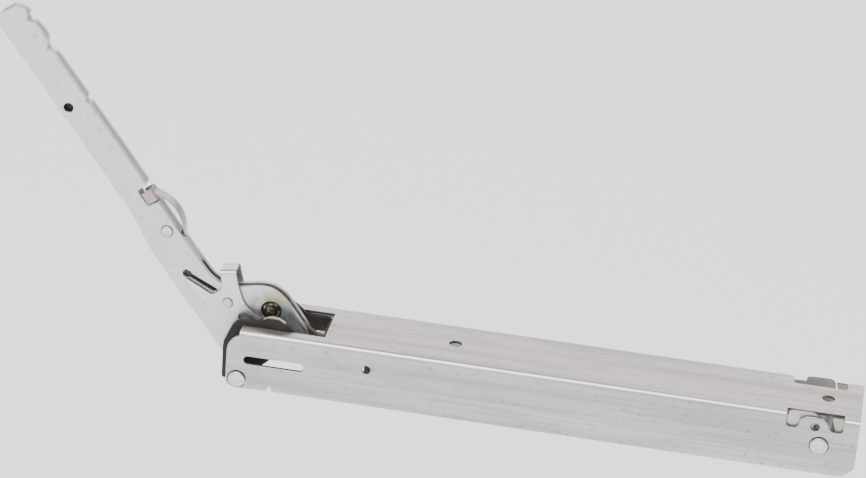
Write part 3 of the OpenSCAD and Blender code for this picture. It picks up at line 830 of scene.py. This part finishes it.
bow_centre, bow_r, strip_thick, strip_edge = Vector((82.6, -2.6)), 20.2, 0.9, 0.14
bow_start, bow_step = 131.5, 3.0  # degrees round the bow's centre
tuck_half, full_half, widening = 1.3, 2.9, 8
path = [(70.1, 8.6, 0.85), (70.0, 10.2, 0.85), (69.7, 11.6, 1.0)]
while path[-1][0] <= 95.2:        # until the strip is under the saddle
    k = len(path) - 3
    turn = math.radians(bow_start - k * bow_step) - math.pi / 2
    point = bow_centre + (bow_r - strip_thick / 2) * Vector((-math.sin(turn), math.cos(turn)))
    wide = full_half
    if k <= widening:
        wide = tuck_half + (full_half - tuck_half) * math.sin(math.pi / 2 * k / widening)
    path.append((point.x, point.y, wide))
rings = []
half, e = strip_thick / 2, strip_edge
for i, (u, v, wide) in enumerate(path):
    ahead = Vector(path[min(i + 1, len(path) - 1)][:2]) - Vector(path[max(i - 1, 0)][:2])
    out = Vector((-ahead.y, ahead.x)).normalized()
    ring = []
    for y, n in ((-wide, -half + e), (-wide, half - e), (-wide + e, half), (wide - e, half),
                 (wide, half - e), (wide, -half + e), (wide - e, -half), (-wide + e, -half)):
        x, z = from_arm(*(Vector((u, v)) + out * n))
        ring.append(Vector((x, y, z)) * MM)
    rings.append(ring)
strip = swept("bow_spring_strip", rings, straw)
strip.modifiers.new("flat faces stay flat", "WEIGHTED_NORMAL").keep_sharp = False
for part in (saddle, strip):
    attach(part, "arm")
    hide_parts("bow_spring")

# ------------------------------------------------------------------ catch
# A claw folded over the arm from 1.2 mm sheet: two like sides joined by a bridge,
# hung on one small rivet through the arm.
warm_zinc = Finish("warm zinc", 0.85, 0.38)
catch_clouds = warm_zinc.grain((1, 1, 1), 110, 5)
catch_rub = warm_zinc.grain((1, 1, 1), 480, 3)
warm_zinc.tint(None, (0.78, 0.775, 0.765))
warm_zinc.tint(warm_zinc.between(catch_clouds, 0.4, 0.65, 0.0, 0.6), (0.66, 0.65, 0.635))
warm_zinc.tint(warm_zinc.between(catch_rub, 0.66, 0.72, 0.0, 0.6), (0.34, 0.33, 0.32))
catch_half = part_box("catch")[1].y / MM
catch_fold_highlight, catch_fold_shade = (0.96, 0.96, 0.95), (0.16, 0.155, 0.15)
for sign in (-1, 1):              # each fold gets a painted highlight band and a painted shade line inside it
    for start, end, colour in ((0.25, 1.1, catch_fold_highlight), (1.2, 2.1, catch_fold_shade)):
        a, b = sorted((sign * (catch_half - start) * MM, sign * (catch_half - end) * MM))
        warm_zinc.tint(warm_zinc.inside("Y", a, b), colour)
warm_zinc.gloss(catch_clouds, 0.28, 0.48)
warm_zinc.relief(catch_clouds, 0.00008)

bridge_a, bridge_b = Vector((46.7, 18.2)), Vector((43.1, 25.2))
along_bridge = (bridge_b - bridge_a).normalized()
into_claw = Vector((-along_bridge.y, along_bridge.x))
catch_thick, catch_edge = 1.2, 0.2
catch_fold = Fold(catch_half, catch_thick, 1.7)
claw = [
    (39.8, 23.6, 1.5), (35.3, 21.7, 2.5), (30.5, 20, 2.5), (25.6, 19.2, 2), (21.2, 20.2, 2),
    (17.5, 21.6, 1), (14.9, 22.6, 0.7), (14.2, 21.2, 0.7), (17.4, 19.4, 1.5), (20.9, 18, 1.5),
    (23.2, 16.4, 1), (23.8, 14.4, 1), (22.8, 12.6, 1), (20.8, 11.8, 0.8), (20.4, 9.4, 1),
    (22.1, 7.5, 1.5), (28.6, 5, 3), (34.7, 2.8, 3), (44.3, 1.2, 2), (51.2, 0.8, 0.8), (50.9, 2, 0.5),
    (44, 5.2, 2), (38.8, 7.6, 1), (38.2, 9.6, 1), (38.6, 12.8, 2), (39.8, 14.8, 2), (42.6, 16.4, 1.5)]


def on_bridge(u, v):
    """Distance along the bridge, and depth behind its outer face, of a point of the arm's plane."""
    d = Vector((u, v)) - bridge_a
    return d.dot(along_bridge), catch_fold.down(max(0, d.dot(into_claw)))


span, web_t = (bridge_b - bridge_a).length, catch_fold.down(0)
claw = [(span, web_t, 0)] + [(*on_bridge(u, v), c) for u, v, c in claw] + [(0, web_t, 0)]
pivot_s, pivot_t = on_bridge(catch_u, catch_v)
head_hole = 2.6
holes = [round_hole(pivot_s, sign * pivot_t, head_hole) for sign in (-1, 1)]
bm = blank(eased(both_sides(claw)), holes, catch_thick, catch_edge)
catch_fold.cut_lines(bm)


def catch_place(s, t, n):
    s, y, h = catch_fold.bent(s, t, n)
    at = bridge_a + along_bridge * s - into_claw * h
    x, z = from_arm(at.x, at.y)
    return x, y, z


catch = formed("catch_claw", bm, catch_thick, catch_edge, catch_place, warm_zinc, shaded_cut_edge)
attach(catch, "catch")
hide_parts("catch")
rivet_x, rivet_z = from_arm(catch_u, catch_v)
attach(rivet("catch_pivot_rivet", "catch_rivet", rivet_x, rivet_z, pin_shank, 2.3, catch_half - sunk), "arm")

# ------------------------------------------------------------------ link and its pins
# A cranked bar blanked from 3 mm steel. It swings on a shouldered pin between the
# arm's plates and pulls the rod head; grease on it has gathered dark dirt.
end_pin_x, end_pin_z = pin_x + 58, 14.3
link_thick, link_edge, end_pin_r = 2.9, 0.3, 2.5
link_outline = [
    (pin_x - 4.8, pin_z - 3, 3), (pin_x - 4.6, pin_z + 4.4, 3), (pin_x + 4, pin_z + 5, 3),
    (pin_x + 9.4, pin_z - 0.5, 4), (pin_x + 22.6, pin_z - 10.8, 4), (pin_x + 32, pin_z - 12.2, 8),
    (end_pin_x + 4.4, end_pin_z + 4.4, 4.2), (end_pin_x + 4.4, end_pin_z - 4.4, 4.2),
    (pin_x + 24, end_pin_z - 3.2, 8), (pin_x + 16.5, pin_z - 15.2, 6), (pin_x + 4, pin_z - 4.8, 4),
    (pin_x - 2.4, pin_z - 5.4, 3)]


def upright(x, z):
    """For outlines already drawn in the part's own x and z."""
    return x, z


link_holes = [round_hole(pin_x, pin_z, pivot_bore), round_hole(end_pin_x, end_pin_z, end_pin_r + 0.05)]
bm = blank(eased(link_outline), link_holes, link_thick, link_edge)
link = formed("link", bm, link_thick, link_edge, stand(0, upright), greasy)
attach(link, "link")
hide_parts("link_bar")

# The pin's ends were staked, and show bare metal through the dirt.
worn = Finish("worn pin", 0.7, 0.35)
staking = worn.grain((1, 1, 1), 330, 3)
worn.tint(None, (0.055, 0.046, 0.034))
worn.tint(worn.between(staking, 0.52, 0.60), (0.42, 0.39, 0.33))
worn.gloss(staking, 0.3, 0.5)
worn.relief(staking, 0.0002)
shoulder, shoulder_r = arm_half - 0.35, 4.3
half_pin = [(0, shoulder - 0.5), (1.5, shoulder - 0.5), (1.9, shoulder), (shoulder_r - 0.3, shoulder),
            (shoulder_r, shoulder - 0.3), (shoulder_r, core_thick / 2), (3, core_thick / 2)]
profile = [(r, -h) for r, h in half_pin] + [(r, h) for r, h in reversed(half_pin)]
link_pin = lathe("link_pin_shouldered", profile, across(pin_x, pin_z), worn)
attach(link_pin, "arm")
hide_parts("link_pin")

low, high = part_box("link_end_pin")
head_y, tail_y = low.y / MM, high.y / MM
end_pin = lathe("link_end_pin_headed", [
    (0, head_y + 0.1), (2.8, head_y), (3.5, head_y + 0.15), (3.6, head_y + 0.9), (end_pin_r, head_y + 1),
    (end_pin_r, tail_y - 0.4), (2.1, tail_y), (0, tail_y)], across(end_pin_x, end_pin_z), greasy)
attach(end_pin, "link")
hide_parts("link_end_pin")

# A snap ring, open on one side, holds the rear pin in.
clip_thick, clip_edge, clip_gap, clip_steps = 0.9, 0.12, math.radians(50), 40


def open_ring(r):
    """Points at radius r from one side of the clip's gap, at the bottom, round to the other."""
    first, sweep = math.radians(270) + clip_gap / 2, 2 * math.pi - clip_gap
    turns = [first + k / clip_steps * sweep for k in range(clip_steps + 1)]
    return [Vector((end_pin_x + r * math.cos(a), end_pin_z + r * math.sin(a))) for a in turns]


clip_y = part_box("link_end_clip")[0].y / MM + clip_thick / 2
bm = blank(open_ring(4) + open_ring(end_pin_r + 0.05)[::-1], [], clip_thick, clip_edge)
clip = formed("snap_ring", bm, clip_thick, clip_edge, stand(clip_y, upright), turned_steel)
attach(clip, "link")
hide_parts("link_end_clip")

# ------------------------------------------------------------------ rod, washer and nut
# Drawn 6 mm bar, threaded at its rear end. The nut there sets how hard the washer
# squeezes the spring.
low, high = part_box("spring_rod")
rod_start, rod_end = low.x / MM, high.x / MM
rod_z = (high.z + low.z) / 2 / MM
rod_r, rod_bore = 3, 3.05
pitch, thread_length, thread_deep = 1.0, 11.0, 0.3


def lengthwise(a, b, h):
    """The rod's own axis, for lathe()."""
    return h, a, rod_z + b


def thread(angle, r, h):
    """The thread's ridge winds back along the rod's last few millimetres."""
    if r < 2.9 or h < rod_end - thread_length:
        return r
    wave = ((h - rod_end) / pitch + angle / (2 * math.pi)) % 1
    return r - thread_deep * abs(2 * wave - 1)


rows = int(thread_length / pitch * 6)
first, run = rod_end - thread_length - 0.1, thread_length - 0.6
profile = [(0, rod_start), (2.6, rod_start), (rod_r, rod_start + 0.4)]
profile += [(rod_r, first + run * k / rows) for k in range(rows + 1)]
profile += [(2.4, rod_end), (0, rod_end)]
rod = lathe("threaded_rod", profile, lengthwise, turned_steel, sides=36, shape=thread)
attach(rod, "slider")
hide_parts("spring_rod")

low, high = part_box("spring_washer")
a, b, rim, c = low.x / MM, high.x / MM, high.y / MM, 0.5
profile = [(rod_bore, a), (rim - c, a), (rim, a + c), (rim, b - c), (rim - c, b), (7.2, b), (6.8, b - 0.3),
           (rod_bore, b - 0.3)]
washer = lathe("washer", profile, lengthwise, inner_zinc, closed=True)
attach(washer, "slider")
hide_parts("spring_washer")

low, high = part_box("rod_nut")
a, b, corner_r = low.x / MM, high.x / MM, 5.7


def hexagon(angle, r, h):
    """Cuts a round blank back to six flats."""
    flat = corner_r * math.cos(math.pi / 6) / math.cos((angle + math.pi / 6) % (math.pi / 3) - math.pi / 6)
    return min(r, flat)


profile = [(rod_bore, a + 0.4), (3.5, a), (4.8, a), (corner_r, a + 0.5), (corner_r, b - 0.5), (4.8, b),
           (3.5, b), (rod_bore, b - 0.4)]
nut = lathe("hexagon_nut", profile, lengthwise, turned_steel, closed=True, sides=72, shape=hexagon)
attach(nut, "slider")
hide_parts("rod_nut")

# ------------------------------------------------------------------ compression spring
# Cold-wound round wire with closed ends, oiled. It is squeezed between the seat
# plate and the rod's washer; on the real hinge it gets shorter as the arm comes down, but here it is built at
# one length.
oiled_wire = Finish("oiled spring wire", 0.9, 0.35)
draw_marks = oiled_wire.grain((1, 1, 1), 500, 4)
oiled_wire.tint(None, (0.26, 0.245, 0.23))
oiled_wire.tint(oiled_wire.between(draw_marks, 0.45, 0.7, 0.0, 0.7), (0.15, 0.135, 0.12))
oiled_wire.gloss(draw_marks, 0.25, 0.45)
oiled_wire.relief(draw_marks, 0.00003)
low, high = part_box("spring")
wire = 0.003
coil_r = (high.z - low.z) / 2 - wire / 2
spring_mid_z = (high.z + low.z) / 2
turns, per_turn, around = 19, 40, 12
closing, tightened = 1.5, 0.02    # turns that close up at each end, and by how much of the length
start, run = low.x + wire / 2, high.x - low.x - wire
rings = []
for i in range(turns * per_turn + 1):
    t = i / (turns * per_turn)
    ease = min(1.0, min(t, 1 - t) * turns / closing)
    x = start + run * (t + (1 - ease) * (tightened if t > 0.5 else -tightened))
    x = min(max(x, start), start + run)
    a = 2 * math.pi * turns * t
    ring = []
    for k in range(around):
        b = 2 * math.pi * k / around
        q = coil_r + wire / 2 * math.cos(b)
        ring.append((x + wire / 2 * math.sin(b), q * math.cos(a), spring_mid_z + q * math.sin(a)))
    rings.append(ring)
coil = swept("coil_spring", rings, oiled_wire)
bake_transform(coil)
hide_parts("spring")

# ------------------------------------------------------------------ floor, light and camera
# A pale sheet of studio paper well below the part, an even white sky with three large
# soft boxes (above, in front and behind), and the eye that sees it.
paper = Finish("studio paper", 0.0, 0.9)
paper.shader.inputs["Specular IOR Level"].default_value = 0.1
paper.shader.inputs["Emission Color"].default_value = (1, 1, 1, 1)
paper.shader.inputs["Emission Strength"].default_value = 0.7
fibres = paper.grain((1, 1, 1), 60, 3)
paper.tint(None, (0.96, 0.96, 0.96))
paper.tint(paper.between(fibres, 0.3, 0.8, 0.0, 0.3), (0.94, 0.94, 0.94))
mesh = bpy.data.meshes.new("floor")
drop, reach = cad_box[0].z - 0.22, 9
corners = [(-reach, -reach, drop), (reach, -reach, drop), (reach, reach, drop), (-reach, reach, drop)]
mesh.from_pydata(corners, [], [(0, 1, 2, 3)])
floor = shown("floor", mesh, paper)

world = bpy.data.worlds.new("studio")
bpy.context.scene.world = world
world.use_nodes = True
sky = world.node_tree.nodes["Background"]
sky.inputs["Color"].default_value = (1, 1, 1, 1)
sky.inputs["Strength"].default_value = 0.8


def lamp(name, place, aim, size, power):
    """A rectangular soft box at place, turned to face aim."""
    light = bpy.data.lights.new(name, "AREA")
    light.shape = "RECTANGLE"
    light.size, light.size_y = size
    light.energy = power
    o = bpy.data.objects.new(name, light)
    bpy.context.scene.collection.objects.link(o)
    o.location = place
    o.rotation_mode = "QUATERNION"
    o.rotation_quaternion = (Vector(aim) - Vector(place)).to_track_quat("-Z", "Y")


lamp("overhead", (-0.05, -0.66, 1.3), (0.08, 0, 0), (1.3, 0.4), 16)
lamp("front", (-0.5, -1.3, 0.8), (0.1, 0, 0.03), (0.8, 0.6), 3)
lamp("behind", (0.1, 2.4, 1.3), (0.1, 0, 0), (3.0, 1.6), 25)

aim, distance = Vector((0.0826, 0.0260, 0.0657)), 1.4762
azimuth, elevation, lean = math.radians(8.0), math.radians(26.7), math.radians(4.5)
eye = bpy.data.cameras.new("eye")
eye.lens = 128.9
eye.sensor_width = 36
eye.clip_start, eye.clip_end = 0.05, 30
camera = bpy.data.objects.new("eye", eye)
bpy.context.scene.collection.objects.link(camera)
flat = math.cos(elevation)
back = Vector((math.sin(azimuth) * flat, -math.cos(azimuth) * flat, math.sin(elevation)))
level = Vector((math.cos(azimuth), math.sin(azimuth), 0))
up = back.cross(level)
right = math.cos(lean) * level + math.sin(lean) * up
over = math.cos(lean) * up - math.sin(lean) * level
camera.matrix_world = Matrix((
    (right.x, over.x, back.x, 0), (right.y, over.y, back.y, 0), (right.z, over.z, back.z, 0), (0, 0, 0, 1)))
camera.location = aim + back * distance
bpy.context.scene.camera = camera

bpy.context.view_layer.update()
